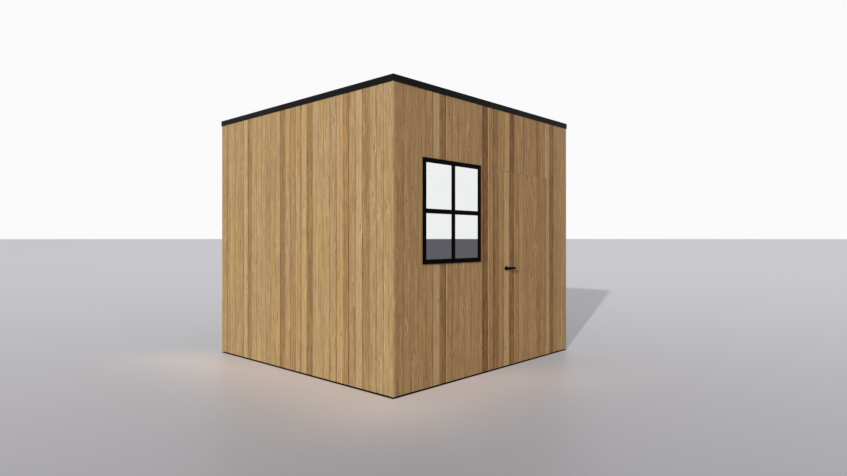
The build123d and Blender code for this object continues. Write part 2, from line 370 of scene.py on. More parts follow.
@dataclass(frozen=True)
class TimberFinish(Finish):
    """Oiled boards: a tone for each board, long streaks, straight grain and a few small knots."""

    pale: Colour = paint(198, 169, 123)
    deep: Colour = paint(114, 81, 50)
    ochre: Colour = (1.02, 0.98, 0.74)
    russet: Colour = (1.0, 0.83, 0.68)
    roughness: float = 0.62
    specular: float = 0.22
    # Grains a metre across and along the boards
    fibres: Scale = (190.0, 6.0, 1.0)
    strands: Scale = (62.0, 6.5, 1.0)
    strips: Scale = (54.0, 3.4, 0.0)
    streaks: Scale = (34.0, 0.9, 1.0)
    tints: Scale = (21.0, 0.8, 1.0)
    flecks: Scale = (60.0, 22.0, 1.0)
    rings: float = 26.0
    ring_stretch: float = 0.035
    ring_waver: float = 7.0
    ring_detail: float = 1.4
    # Finer layers of each noise
    fine_layers: float = 2.0
    long_layers: float = 3.0
    # How far each of them turns a board's colour towards the pale or the deep one
    streak_tone: float = 0.45
    strand_tone: float = 0.7
    strip_tone: float = 0.22
    edge_tone: float = 0.3
    fleck_tone: float = 0.36
    fleck_limit: float = 1.2
    # How far each of them tints a board
    tint_ochre: float = 0.6
    fleck_russet: float = 0.3
    deep_russet: float = 0.6
    deep_start: float = 0.7
    # How far each of them lightens or darkens a board
    fibre_light: float = 0.5
    ring_light: float = 0.12
    crescent_light: float = 0.4
    core_dark: float = 0.34
    edge_light: float = 0.22
    groove_dark: float = 0.6
    # How far they change the gloss and the height
    streak_gloss: float = 0.25
    core_gloss: float = 0.12
    fibre_height: float = 0.7
    ring_height: float = 0.5
    core_height: float = 0.6
    bump_strength: float = 0.22
    bump_distance: float = 0.0008
    # Where soft steps begin and end
    fleck_span: Span = (0.58, 0.72)
    tint_span: Span = (0.36, 0.66)
    edge_span: Span = (0.78, 0.86)
    core_span: Span = (0.2, 0.75)
    halo_span: Span = (0.7, 1.5)
    side_span: Span = (-0.1, 0.7)
    bend_span: Span = (0.3, 3.6)
    # Knots: the cells that hold one each, their size and the share of cells that have one
    knot_cell: Point2 = (0.13, 0.62)
    knot_size: Point2 = (0.018, 0.055)
    knot_share: float = 0.38
    knot_sharpness: float = 0.01
    knot_banished: float = 9.0
    knot_bend: float = 0.85

    def shader(self, tree: ShaderTree) -> Socket:
        """Add the timber's nodes.

        Args:
            tree: The material's tree.

        Returns:
            The timber shader.
        """
        grain = tree.node("ShaderNodeUVMap", {"uv_map": "grain"})
        paleness = self.tone(tree, "paleness")
        warmth = self.tone(tree, "warmth")
        gold = self.tone(tree, "gold")
        # Painted highlight along one edge of each board and painted shade along the other
        edge = self.edges(tree) * self.tone(tree, "sapwood")
        knot, side, bent = self.knots(tree, grain)
        core = 1 - tree.step(knot, *self.core_span)
        halo = 1 - tree.step(knot, *self.halo_span)
        crescent = halo * (1 - core) * side
        # Painted shade in the joints: the groove tone darkens beyond the deep colour
        groove = tree.node("ShaderNodeMath", {"operation": "MINIMUM"}, {0: paleness, 1: 0.0})

        fibre = tree.noise(bent, self.fibres, self.fine_layers)
        strand = tree.noise(bent, self.strands, self.long_layers)
        streak = tree.noise(bent, self.streaks, self.long_layers)
        strip = self.narrow_strips(tree, bent)
        tint = tree.step(tree.noise(bent, self.tints, self.fine_layers), *self.tint_span)
        fleck = tree.step(tree.noise(bent, self.flecks, self.fine_layers), *self.fleck_span)
        fleck = fleck * (self.fleck_limit - paleness)
        ring = self.growth_rings(tree, bent)

        share = paleness + streak.swing(self.streak_tone) + strand.swing(self.strand_tone)
        share = share - fleck * self.fleck_tone
        share = share + strip.swing(self.strip_tone) + edge * self.edge_tone
        depth = self.deep_start - share
        reddening = warmth + fleck * self.fleck_russet + depth * self.deep_russet
        colour = tree.mix(share, self.deep, self.pale)
        colour = tree.stain(tint * self.tint_ochre + gold, colour, self.ochre)
        colour = tree.stain(reddening, colour, self.russet)
        light = 1.0 + fibre.swing(self.fibre_light) + ring.swing(self.ring_light)
        light = light + crescent * self.crescent_light - core * self.core_dark
        light = light + edge * self.edge_light + groove * self.groove_dark
        height = fibre * self.fibre_height + ring * self.ring_height - core * self.core_height
        gloss = streak.swing(self.streak_gloss)
        sockets = {
            "Base Color": tree.lighten(colour, light),
            "Roughness": self.roughness + gloss - core * self.core_gloss,
            "Specular IOR Level": self.specular,
            "Normal": tree.bump(height, self.bump_strength, self.bump_distance),
        }
        return tree.principled(sockets)

    def tone(self, tree: ShaderTree, name: str) -> Socket:
        """Read one of the tone values that each board carries."""
        return tree.node("ShaderNodeAttribute", {"attribute_name": name}, output="Fac")

    def edges(self, tree: ShaderTree) -> Socket:
        """Mark the edges of a board for the painted highlight and shade: 1 along the right one, -1
        along the left one.
        """
        across = self.tone(tree, "across")
        return tree.step(across, *self.edge_span) - tree.step(0 - across, *self.edge_span)

    def knots(self, tree: ShaderTree, grain: Socket) -> tuple[Socket, Socket, Socket]:
        """Scatter knots and bend the grain round them.

        Args:
            tree: The material's tree.
            grain: Metres across and along the boards.

        Returns:
            The distance from the nearest knot in knot sizes, a value that is 1 on the right of
            it and 0 on the left, and the bent grain.
        """
        wide, tall = self.knot_cell
        stretch = wide / self.knot_size[0], tall / self.knot_size[1]
        cells = tree.vector("MULTIPLY", grain, (1 / wide, 1 / tall, 0.0))
        spot = tree.node(
            "ShaderNodeTexVoronoi", {"voronoi_dimensions": "2D"},
            {"Vector": cells, "Scale": 1.0}, output="Position",
        )
        offset = tree.vector("SUBTRACT", cells, spot)
        scaled = tree.vector("MULTIPLY", offset, (*stretch, 0.0))
        chance = tree.node("ShaderNodeSeparateColor", {}, {"Color": spot.other("Color")})
        share, sharpness = self.knot_share, self.knot_sharpness
        bare = tree.step(chance, share - sharpness, share + sharpness)
        away = tree.vector("LENGTH", scaled) + bare * self.knot_banished
        near = 1 - tree.step(away, *self.bend_span)
        across = tree.node("ShaderNodeSeparateXYZ", {}, {"Vector": offset})
        side = tree.step(across * stretch[0], *self.side_span)
        bend = across * near * (wide * self.knot_bend)
        shift = tree.node("ShaderNodeCombineXYZ", {}, {"X": bend})
        return away, side, tree.vector("SUBTRACT", grain, shift)

    def narrow_strips(self, tree: ShaderTree, bent: Socket) -> Socket:
        """Divide the boards into narrow strips that change tone at square ends.

        Args:
            tree: The material's tree.
            bent: The grain, bent round the knots.

        Returns:
            A value from 0 to 1 for each length of each strip.
        """
        cells = tree.vector("MULTIPLY", bent, self.strips)
        strip = tree.vector("FLOOR", tree.vector("MULTIPLY", cells, (1.0, 0.0, 0.0)))
        start = tree.node("ShaderNodeTexWhiteNoise", {}, {"Vector": strip})
        shift = tree.node("ShaderNodeCombineXYZ", {}, {"Y": start})
        length = tree.vector("FLOOR", tree.vector("ADD", cells, shift))
        return tree.node("ShaderNodeTexWhiteNoise", {}, {"Vector": length})

    def growth_rings(self, tree: ShaderTree, bent: Socket) -> Socket:
        """Draw the bands of the growth rings along the grain.

        Args:
            tree: The material's tree.
            bent: The grain, bent round the knots.

        Returns:
            A value from 0 to 1.
        """
        stretched = tree.vector("MULTIPLY", bent, (1.0, self.ring_stretch, 1.0))
        sockets = {
            "Vector": stretched,
            "Scale": self.rings,
            "Distortion": self.ring_waver,
            "Detail": self.fine_layers,
            "Detail Scale": self.ring_detail,
        }
        return tree.node("ShaderNodeTexWave", {"bands_direction": "X"}, sockets, output="Fac")


@dataclass(frozen=True)
class CoatFinish(Finish):
    """Matt powder coat on metal, or another even coat, with a fine peel."""

    colour: Colour = paint(17, 17, 19)
    roughness: float = 0.46
    metallic: float = 0.0
    specular: float = 0.07
    peel: float = 1400.0
    peel_layers: float = 1.0
    peel_gloss: float = 0.08
    peel_strength: float = 0.12
    peel_height: float = 0.0003
    cloud: float = 2.6
    cloud_layers: float = 4.0
    cloud_light: float = 0.3
    cloud_gloss: float = 0.16

    def shader(self, tree: ShaderTree) -> Socket:
        """Add the coat's nodes.

        Args:
            tree: The material's tree.

        Returns:
            The coat shader.
        """
        place = tree.place()
        peel = tree.noise(place, (self.peel,) * 3, self.peel_layers)
        cloud = tree.noise(place, (self.cloud,) * 3, self.cloud_layers)
        gloss = self.roughness + cloud.swing(self.cloud_gloss) + peel.swing(self.peel_gloss)
        sockets = {
            "Base Color": tree.lighten(self.colour, 1.0 + cloud.swing(self.cloud_light)),
            "Roughness": gloss,
            "Metallic": self.metallic,
            "Specular IOR Level": self.specular,
            "Normal": tree.bump(peel, self.peel_strength, self.peel_height),
        }
        return tree.principled(sockets)


@dataclass(frozen=True)
class GlassFinish(Finish):
    """Mirror-coated glazing: nearly all of what it shows is a reflection."""

    colour: Colour = (0.94, 0.955, 0.96)
    roughness: float = 0.012
    alpha: float = 0.94
    film: Scale = (7.0, 7.0, 7.0)
    film_layers: float = 5.0
    film_light: float = 0.03
    film_gloss: float = 0.012

    def shader(self, tree: ShaderTree) -> Socket:
        """Add the glass's nodes.

        Args:
            tree: The material's tree.

        Returns:
            The glass shader.
        """
        film = tree.noise(tree.place(), self.film, self.film_layers)
        sockets = {
            "Base Color": tree.lighten(self.colour, 1.0 + film.swing(self.film_light)),
            "Roughness": self.roughness + film.swing(self.film_gloss),
            "Metallic": 1.0,
            "Alpha": self.alpha,
        }
        return tree.principled(sockets)


@dataclass(frozen=True)
class LiningFinish(Finish):
    """Clear-sealed plywood sheets with a broad figure and fine joints between them."""

    pale: Colour = paint(214, 189, 150)
    deep: Colour = paint(188, 156, 113)
    across: Direction = (1.0, 1.0, 0.0)
    sheet: float = 0.8987
    joint: float = 0.0016
    joint_dark: float = 0.55
    roughness: float = 0.5
    specular: float = 0.3
    figure: Scale = (7.0, 7.0, 0.9)
    figure_layers: float = 4.0
    figure_tone: float = 0.7
    ring_turns: float = 46.0
    ring_tone: float = 0.12
    pores: Scale = (420.0, 420.0, 12.0)
    pore_layers: float = 2.0
    pore_light: float = 0.14
    pore_gloss: float = 0.2
    pore_height: float = 0.3
    bump_strength: float = 0.3
    bump_distance: float = 0.001

    def shader(self, tree: ShaderTree) -> Socket:
        """Add the plywood's nodes.

        Args:
            tree: The material's tree.

        Returns:
            The plywood shader.
        """
        place = tree.place()
        run = tree.vector("DOT_PRODUCT", place, self.across)
        figure = tree.noise(place, self.figure, self.figure_layers)
        rings = tree.node("ShaderNodeMath", {"operation": "SINE"}, {0: figure * self.ring_turns})
        pore = tree.noise(place, self.pores, self.pore_layers)
        turns = tree.node("ShaderNodeMath", {"operation": "PINGPONG"}, {0: run, 1: self.sheet / 2})
        seam = 1 - tree.step(turns, self.joint / 2, self.joint)
        tone = figure * self.figure_tone + rings * self.ring_tone
        light = 1.0 + pore.swing(self.pore_light) - seam * self.joint_dark
        height = pore * self.pore_height - seam
        sockets = {
            "Base Color": tree.lighten(tree.mix(tone, self.pale, self.deep), light),
            "Roughness": self.roughness + pore.swing(self.pore_gloss),
            "Specular IOR Level": self.specular,
            "Normal": tree.bump(height, self.bump_strength, self.bump_distance),
        }
        return tree.principled(sockets)


@dataclass(frozen=True)
class MembraneFinish(Finish):
    """Dark rubber roofing with a dry bloom on it."""

    colour: Colour = paint(50, 51, 54)
    bloom: Colour = paint(84, 84, 84)
    roughness: float = 0.62
    specular: float = 0.3
    dust: Scale = (1.3, 1.3, 1.3)
    dust_layers: float = 6.0
    dust_span: Span = (0.38, 0.72)
    dust_tone: float = 0.7
    dust_gloss: float = 0.35
    weave: Scale = (380.0, 380.0, 380.0)
    weave_layers: float = 1.0
    weave_height: float = 0.06
    ripple: Scale = (4.0, 2.2, 4.0)
    ripple_layers: float = 2.0
    bump_strength: float = 0.25
    bump_distance: float = 0.004

    def shader(self, tree: ShaderTree) -> Socket:
        """Add the membrane's nodes.

        Args:
            tree: The material's tree.

        Returns:
            The membrane shader.
        """
        place = tree.place()
        dust = tree.noise(place, self.dust, self.dust_layers)
        weave = tree.noise(place, self.weave, self.weave_layers)
        ripple = tree.noise(place, self.ripple, self.ripple_layers)
        tone = tree.step(dust, *self.dust_span) * self.dust_tone
        height = weave * self.weave_height + ripple
        sockets = {
            "Base Color": tree.mix(tone, self.colour, self.bloom),
            "Roughness": self.roughness + dust.swing(self.dust_gloss),
            "Specular IOR Level": self.specular,
            "Normal": tree.bump(height, self.bump_strength, self.bump_distance),
        }
        return tree.principled(sockets)


@dataclass(frozen=True)
class SawnFinish(Finish):
    """Dark-stained sawn timber, seen along the foot of the walls."""

    colour: Colour = paint(22, 18, 16)
    roughness: float = 0.8
    saw: Scale = (30.0, 30.0, 160.0)
    saw_layers: float = 3.0
    saw_light: float = 0.7
    saw_gloss: float = 0.2
    bump_strength: float = 0.4
    bump_distance: float = 0.001

    def shader(self, tree: ShaderTree) -> Socket:
        """Add the sawn timber's nodes.

        Args:
            tree: The material's tree.

        Returns:
            The sawn timber shader.
        """
        saw = tree.noise(tree.place(), self.saw, self.saw_layers)
        sockets = {
            "Base Color": tree.lighten(self.colour, 1.0 + saw.swing(self.saw_light)),
            "Roughness": self.roughness + saw.swing(self.saw_gloss),
            "Normal": tree.bump(saw, self.bump_strength, self.bump_distance),
        }
        return tree.principled(sockets)


@dataclass(frozen=True)
class StudioFloorFinish(Finish):
    """Pale studio floor, which mirrors show as a darker one, with painted bounce light, a painted
    contact shadow and a painted fill glow.
    """

    colour: Colour = (0.212, 0.197, 0.178)
    # Painted bounce light: a warm pool on the floor beside the lit walls of the pod
    warm: Colour = (0.535, 0.43, 0.315)
    # Painted fill light: a glow that only the camera sees, which lifts the floor and the pod's
    # shadow on it
    fill: Colour = (0.118, 0.118, 0.142)
    # Painted contact shadow: near-black floor under the pod and just round its foot
    covered: Colour = (0.02, 0.02, 0.02)
    bounced: Colour = (0.36, 0.36, 0.36)
    mirrored: Colour = (0.18, 0.175, 0.182)
    roughness: float = 0.5
    specular: float = 0.64
    sheen: float = 0.35
    sheen_roughness: float = 0.4
    # How far round the pod's foot the painted contact shadow reaches
    edge: float = 0.007
    # How far from the pod, and towards which side, the painted bounce light reaches
    glow_reach: float = 2.0
    glow_side: Direction = (-0.82, -0.5, 0.0)
    glow_span: Span = (0.1, 1.3)
    grain: Scale = (22.0, 22.0, 22.0)
    grain_layers: float = 6.0
    grain_light: float = 0.16

    def shader(self, tree: ShaderTree) -> Socket:
        """Add the floor's nodes.

        Args:
            tree: The material's tree.

        Returns:
            The floor shader.
        """
        place = tree.place()
        grain = tree.noise(place, self.grain, self.grain_layers)
        beyond = tree.vector("SUBTRACT", tree.vector("ABSOLUTE", place), CAD_BOX[1])
        outside = tree.vector("MAXIMUM", beyond, (0.0, 0.0, 0.0))
        away = tree.vector("LENGTH", outside)
        # Painted bounce light, warmest by the pod on its lit side and fading outwards
        painted_bounce = 1 - tree.step(away, 0.0, self.glow_reach)
        lit = tree.step(tree.vector("DOT_PRODUCT", place, self.glow_side), *self.glow_span)
        rays = tree.node("ShaderNodeLightPath", output="Is Camera Ray")
        shown = tree.mix(painted_bounce * painted_bounce * lit, self.colour, self.warm)
        colour = tree.mix(rays, self.bounced, shown)
        sockets = {
            "Base Color": tree.lighten(colour, 1.0 + grain.swing(self.grain_light)),
            "Roughness": self.roughness,
            "Specular IOR Level": self.specular,
            "Sheen Weight": self.sheen,
            "Sheen Roughness": self.sheen_roughness,
            # Painted fill light, seen by camera rays only
            "Emission Color": tree.mix(rays, (0.0, 0.0, 0.0), self.fill),
            "Emission Strength": 1.0,
        }
        floor = tree.principled(sockets)
        # Painted contact shadow under the pod and along its foot
        covered = tree.node("ShaderNodeBsdfDiffuse", {}, {"Color": self.covered})
        bare = tree.step(away, 0.0, self.edge)
        seen = tree.node("ShaderNodeMixShader", {}, {0: bare, 1: covered, 2: floor})
        mirrored = tree.node("ShaderNodeBsdfDiffuse", {}, {"Color": self.mirrored})
        glossy = rays.other("Is Glossy Ray")
        return tree.node("ShaderNodeMixShader", {}, {0: glossy, 1: seen, 2: mirrored})


class Facing(Enum):
    """Which way a boarded surface looks, as its run, its rise and its outward direction."""

    FRONT = ((1, 0, 0), (0, 0, 1), (0, -1, 0))
    RIGHT = ((0, 1, 0), (0, 0, 1), (1, 0, 0))
    BACK = ((-1, 0, 0), (0, 0, 1), (0, 1, 0))
    LEFT = ((0, -1, 0), (0, 0, 1), (-1, 0, 0))
    FLOOR = ((1, 0, 0), (0, 1, 0), (0, 0, 1))

    @property
    def run(self) -> Vector:
        """The direction from the left end to the right end, seen from outside."""
        return Vector(self.value[0])

    @property
    def rise(self) -> Vector:
        """The direction that the boards run in."""
        return Vector(self.value[1])

    @property
    def out(self) -> Vector:
        """The direction that the surface looks in."""
        return Vector(self.value[2])


@dataclass(frozen=True)
class Field:
    """The flat space that one CAD node gives to a run of boards."""

    facing: Facing
    left: float
    right: float
    low: float
    high: float
    inner: float
    outer: float

    @classmethod
    def of_node(cls, facing: Facing, node: str) -> "Field":
        """Take the space of a CAD node.

        Args:
            facing: The way that the surface looks.
            node: The node's name.

        Returns:
            The space.
        """
        corners = [Vector(corner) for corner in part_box(node)]
        spans = [
            sorted(corner.dot(direction) for corner in corners)
            for direction in (facing.run, facing.rise, facing.out)
        ]
        return cls(facing, *spans[0], *spans[1], *spans[2])

    @property
    def thickness(self) -> float:
        """How thick the node is."""
        return self.outer - self.inner

    def point(self, across: float, along: float, depth: float) -> Vector:
        """A point of the surface, at a depth behind its face."""
        facing = self.facing
        return facing.run * across + facing.rise * along + facing.out * (self.outer - depth)

    def joints(self, count: int) -> list[float]:
        """The joints between an even run of boards, ends included."""
        pitch = (self.right - self.left) / count
        return [self.left + pitch * index for index in range(count + 1)]


@dataclass(frozen=True)
class Hole:
    """A rectangular hole in a run of boards."""

    left: float
    right: float
    low: float
    high: float


class PieceMesh:
    """Collects the solids of one piece, with the grain and the tone of each."""

    def __init__(self) -> None:
        """Start an empty mesh with its grain map and tone values."""
        self.mesh = bmesh.new()
        self.grain = self.mesh.loops.layers.uv.new("grain")
        self.across = self.mesh.loops.layers.float.new("across")
        names = [tone.name for tone in fields(Shade)]
        for name in names:
            self.mesh.faces.layers.float.new(name)
        self.tones = {name: self.mesh.faces.layers.float[name] for name in names}

    def loft(
        self,
        rings: Sequence[Sequence[Vector]],
        maps: Sequence[Sequence[GrainPoint]] | None = None,
        shade: Shade = Tone.TAN.value,
        closed: bool = False,
        edge: Shade | None = None,
    ) -> None:
        """Skin a row of rings into one solid.

        Args:
            rings: Rings of as many points each.
            maps: Where each point lies on the grain, and from -1 to 1 across its board.
            shade: The shade of the solid.
            closed: The last ring joins the first, in place of two end caps.
            edge: The shade of the faces between the last two rings, where it differs.
        """
        loops = [[self.mesh.verts.new(point) for point in ring] for ring in rings]
        flat = maps or [[(0.0, 0.0, 0.0)] * len(ring) for ring in rings]
        count = len(loops)
        for here in range(count if closed else count - 1):
            then = (here + 1) % count
            band = edge if edge and then == count - 1 else shade
            for start in range(len(loops[here])):
                end = (start + 1) % len(loops[here])
                corners = [(then, start), (then, end), (here, end), (here, start)]
                self._face(
                    [loops[ring][place] for ring, place in corners],
                    [flat[ring][place] for ring, place in corners],
                    band,
                )
        if not closed:
            self._face(loops[0], flat[0], shade)
            self._face(loops[-1][::-1], flat[-1][::-1], shade)

    def _face(
        self,
        corners: Sequence[bmesh.types.BMVert],
        grain: Sequence[GrainPoint],
        shade: Shade,
    ) -> None:
        """Add one face.

        Args:
            corners: Its corners.
            grain: Where each corner lies on the grain and across its board.
            shade: Its shade.
        """
        made = self.mesh.faces.new(corners)
        for name, layer in self.tones.items():
            made[layer] = getattr(shade, name)
        for loop, place in zip(made.loops, grain):
            loop[self.grain].uv = place[:2]
            loop[self.across] = place[2]

    def board(
        self,
        space: Field,
        outline: Sequence[Point2],
        shade: Shade,
        easing: float,
        sunk: float,
        shift: Point2,
    ) -> None:
        """Add one board with eased edges on its face.

        Args:
            space: The surface that the board lies on.
            outline: The board's outline, counter-clockwise.
            shade: The board's shade.
            easing: Size of the eased edge.
            sunk: How far its face lies behind the surface.
            shift: Where on the timber's grain the board was cut.
        """
        inset = self._inset(outline, easing)
        levels = [(inset, sunk), (outline, sunk + easing), (outline, space.thickness)]
        rings = [
            [space.point(across, along, depth) for across, along in ring] for ring, depth in levels
        ]
        left, right = min(outline)[0], max(outline)[0]
        maps = [
            [
                (across + shift[0], along + shift[1], (2 * across - left - right) / (right - left))
                for across, along in ring
            ]
            for ring, _ in levels
        ]
        # The sides of each board take the painted groove shade
        self.loft(rings, maps, shade, edge=Tone.GROOVE.value)

    @staticmethod
    def _inset(outline: Sequence[Point2], amount: float) -> list[Point2]:
        """Draw a square-cornered outline inwards.

        Args:
            outline: The outline, counter-clockwise.
            amount: How far each side moves.

        Returns:
            The smaller outline.
        """
        inward = []
        for (x0, y0), (x1, y1) in zip(outline, [*outline[1:], outline[0]]):
            length = math.hypot(x1 - x0, y1 - y0)
            inward.append((-(y1 - y0) / length, (x1 - x0) / length))
        return [
            (x + amount * (before[0] + after[0]), y + amount * (before[1] + after[1]))
            for (x, y), before, after in zip(outline, [inward[-1], *inward[:-1]], inward)
        ]

    def piece(
        self,
        name: str,
        body: str,
        finish: Finish,
        replaces: Iterable[str] = (),
        smooth: float | None = None,
    ) -> bpy.types.Object:
        """Turn what was collected into a dressed piece that rides on a body.

        Args:
            name: The piece's name.
            body: The CAD body it moves with.
            finish: Its finish.
            replaces: The CAD nodes that it stands for.
            smooth: Angle up to which its edges are shaded smooth, or None for flat faces.

        Returns:
            The piece.
        """
        bmesh.ops.recalc_face_normals(self.mesh, faces=self.mesh.faces[:])
        mesh = bpy.data.meshes.new(name)
        self.mesh.to_mesh(mesh)
        self.mesh.free()
        if smooth is not None:
            mesh.shade_smooth()
            mesh.set_sharp_from_angle(angle=smooth)
        mesh.materials.append(finish.material())
        made = bpy.data.objects.new(name, mesh)
        bpy.context.scene.collection.objects.link(made)
        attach(made, body)
        nodes = tuple(replaces)
        if nodes:
            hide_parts(*nodes)
        LOG.info("%s: %d faces, %s, on %s", name, len(mesh.polygons), finish.name, body)
        return made


def dress(finish: Finish, nodes: Iterable[str], easing: float = 0.0) -> None:
    """Give CAD nodes their finish.

    Args:
        finish: The finish.
        nodes: The nodes' names.
        easing: Size of the eased edges that the nodes get, if any.
    """
    for node in nodes:
        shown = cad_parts[node]
        if easing:
            eased = shown.modifiers.new("eased_edges", "BEVEL")
            eased.width = easing
            eased.segments = EASED_SEGMENTS
            eased.limit_method = "ANGLE"
            eased.angle_limit = EASED_ANGLE
        if not shown.material_slots:
            shown.data.materials.append(None)
        for place in shown.material_slots:
            place.material = finish.material()
        LOG.info("%s: CAD node in %s", node, finish.name)


def circle(count: int) -> list[Point2]:
    """The directions of an even ring of points."""
    turns = (2 * math.pi * index / count for index in range(count))
    return [(math.cos(turn), math.sin(turn)) for turn in turns]


def quarter_turn(steps: int) -> list[float]:
    """Angles from 0 to a right angle in even steps, ends included."""
    return [math.pi / 2 * index / steps for index in range(steps + 1)]


def cut_place(dice: random.Random) -> Point2:
    """Draw where on the timber's grain a board was cut."""
    return dice.uniform(*GRAIN_SPAN), dice.uniform(*GRAIN_SPAN)


@dataclass
class Cladding:
    """Vertical boards on the four walls and the door, between rebated corner posts."""

    timber: TimberFinish
    blind_boards: int = 31
    window_side_boards: int = 16
    door_boards: int = 10
    hinge_side_boards: int = 5
    joint: float = 0.0032
    easing: float = 0.0012
    tongue_sunk: float = 0.007
    tongue_play: float = 0.0001
    unevenness: float = 0.0007
    tone_spread: float = 0.075
    # Painted shade on the front wall: its boards, the door's too, are darker, warmer, less golden
    # and stronger in contrast than the same boards on the other walls
    front_paleness: float = -0.07
    front_warmth: float = 0.62
    front_gold: float = -0.25
    front_contrast: float = 1.36
    edge_rarity: int = 3
    post_easing: float = 0.0025
    post_steps: int = 4
    post_smooth: float = math.radians(40)
    # First letter of each board's tone, from a wall's left end
    order: str = "TTTHTPBTHTTHTDTRTSDTHTTHRTPBTTT"
    dice: random.Random = field(default_factory=lambda: random.Random(31))
    edge_dice: random.Random = field(default_factory=lambda: random.Random(8))

    def tones(self) -> list[Tone]:
        """The tone of each board of a wall, from its left end."""
        letters = {tone.name[0]: tone for tone in Tone}
        return [letters[letter] for letter in self.order]

    def build(self) -> None:
        """Build every run of boards and the posts."""
        tones = self.tones()
        shades = [tone.value for tone in tones]
        for facing in (Facing.LEFT, Facing.BACK, Facing.RIGHT):
            wall = facing.name.lower()
            node = f"{wall}_cladding"
            space = Field.of_node(facing, node)
            boards = self.run(space, space.joints(self.blind_boards), shades, None)
            boards.piece(f"{wall}_boards", "pod", self.timber, [node])
        self.front(tones)
        self.posts()

    def front(self, tones: Sequence[Tone]) -> None:
        """Board the front wall and the door so that their joints line up over the door.

        Args:
            tones: The tone of each board of the wall.
        """
        latch = self.window_side_boards
        hinge = latch + self.door_boards
        window = Hole(
            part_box("window_frame_left")[0][0],
            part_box("window_frame_right")[1][0],
            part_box("window_frame_sill")[0][2],
            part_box("window_frame_head")[1][2],
        )
        over = Field.of_node(Facing.FRONT, "front_cladding_over_door")
        side = Field.of_node(Facing.FRONT, "front_cladding_window_side")
        end = Field.of_node(Facing.FRONT, "front_cladding_hinge_side")
        leaf = Field.of_node(Facing.FRONT, "door_cladding")
        # Painted shade: the front boards are a darker, warmer copy of the other walls' boards
        shift = (self.front_paleness, self.front_warmth, self.front_gold, self.front_contrast)
        shades = [tone.value.shifted(*shift) for tone in tones]
        over_joints = over.joints(self.door_boards)
        leaf_joints = [leaf.left, *over_joints[1:-1], leaf.right]
        runs = (
            ("window_side_boards", "front_cladding_window_side", "pod", side,
             side.joints(latch), shades[:latch], window),
            ("over_door_boards", "front_cladding_over_door", "pod", over,
             over_joints, shades[latch:hinge], None),
            ("hinge_side_boards", "front_cladding_hinge_side", "pod", end,
             end.joints(self.hinge_side_boards), shades[hinge:], None),
            ("door_boards", "door_cladding", "door", leaf,
             leaf_joints, shades[latch:hinge], None),
        )
        for name, node, body, space, joints, chosen, hole in runs:
            self.run(space, joints, chosen, hole).piece(name, body, self.timber, [node])

    def run(
        self, space: Field, joints: Sequence[float], shades: Sequence[Shade], hole: Hole | None
    ) -> PieceMesh:
        """Lay one run of boards.

        Args:
            space: The surface that they lie on.
            joints: The joints between them, ends included.
            shades: The shade of each board.
            hole: A hole that they are cut round.

        Returns:
            The boards.
        """
        boards = PieceMesh()
        for left, right, base in zip(joints, joints[1:], shades):
            start = left + (self.joint / 2 if left > joints[0] else 0.0)
            end = right - (self.joint / 2 if right < joints[-1] else 0.0)
            sunk = self.dice.uniform(0.0, self.unevenness)
            lift = self.dice.uniform(-self.tone_spread, self.tone_spread)
            # Painted edge highlight and shade, strong on a few boards only
            sapwood = self.edge_dice.uniform(-1.0, 1.0) ** self.edge_rarity
            shade = base.shifted(lift).edged(sapwood)
            shift = cut_place(self.dice)
            for outline in self.outlines(start, end, space, hole):
                boards.board(space, outline, shade, self.easing, sunk, shift)
            if right < joints[-1]:
                # Each tongue at the back of a joint takes the painted groove shade
                tongue = (end + self.tongue_play, right + self.joint / 2 - self.tongue_play)
                for outline in self.outlines(*tongue, space, hole):
                    boards.board(
                        space, outline, Tone.GROOVE.value, self.tongue_play, self.tongue_sunk, shift
                    )
        return boards

    @staticmethod
    def outlines(left: float, right: float, space: Field, hole: Hole | None) -> list[list[Point2]]:
        """Cut one board round a hole.

        Args:
            left: The board's left edge.
            right: The board's right edge.
            space: The surface that it lies on.
            hole: The hole, if there is one.

        Returns:
            The outlines of what is left of the board.
        """
        low, high = space.low, space.high
        if hole is None or right <= hole.left or left >= hole.right:
            return [[(left, low), (right, low), (right, high), (left, high)]]
        if left < hole.left:
            return [[
                (left, low), (right, low), (right, hole.low), (hole.left, hole.low),
                (hole.left, hole.high), (right, hole.high), (right, high), (left, high),
            ]]
        if right > hole.right:
            return [[
                (left, low), (right, low), (right, high), (left, high),
                (left, hole.high), (hole.right, hole.high), (hole.right, hole.low),
                (left, hole.low),
            ]]
        return [
            [(left, low), (right, low), (right, hole.low), (left, hole.low)],
            [(left, hole.high), (right, hole.high), (right, high), (left, high)],
        ]

    def posts(self) -> None:
        """Build the four corner posts, rebated behind and rounded on the corner."""
        skin = Field.of_node(Facing.FRONT, "front_cladding_over_door").thickness
        for corner in ("front_left", "front_right", "back_right", "back_left"):
            node = f"corner_post_{corner}"
            low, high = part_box(node)
            turn_x = 1 if corner.endswith("left") else -1
            turn_y = 1 if corner.startswith("front") else -1
            face = high[0] - low[0]
            outline = self.post_outline(face, skin)
            x = low[0] if turn_x > 0 else high[0]
            y = low[1] if turn_y > 0 else high[1]
            shift = self.dice.uniform(*GRAIN_SPAN)
            levels = (low[2], high[2])
            rings = [
                [Vector((x + turn_x * a, y + turn_y * b, level)) for a, b in outline]
                for level in levels
            ]
            maps = [[(b - a + shift, level + shift, 0.0) for a, b in outline] for level in levels]
            post = PieceMesh()
            post.loft(rings, maps)
            post.piece(f"post_{corner}", "pod", self.timber, [node], smooth=self.post_smooth)

    def post_outline(self, face: float, skin: float) -> list[Point2]:
        """Outline of a post, measured inwards from its outer corner.

        Args:
            face: Width of the post's faces.
            skin: Thickness of the boards that meet it.

        Returns:
            The outline, from the corner round.
        """
        rounding = [
            (self.post_easing * (1 - math.cos(turn)), self.post_easing * (1 - math.sin(turn)))
            for turn in quarter_turn(self.post_steps)
        ]
        edge = self.easing
        front = [(face - edge, 0.0), (face, edge), (face, skin), (skin, skin)]
        side = [(skin, face), (edge, face), (0.0, face - edge)]
        return [*rounding, *front, *side]


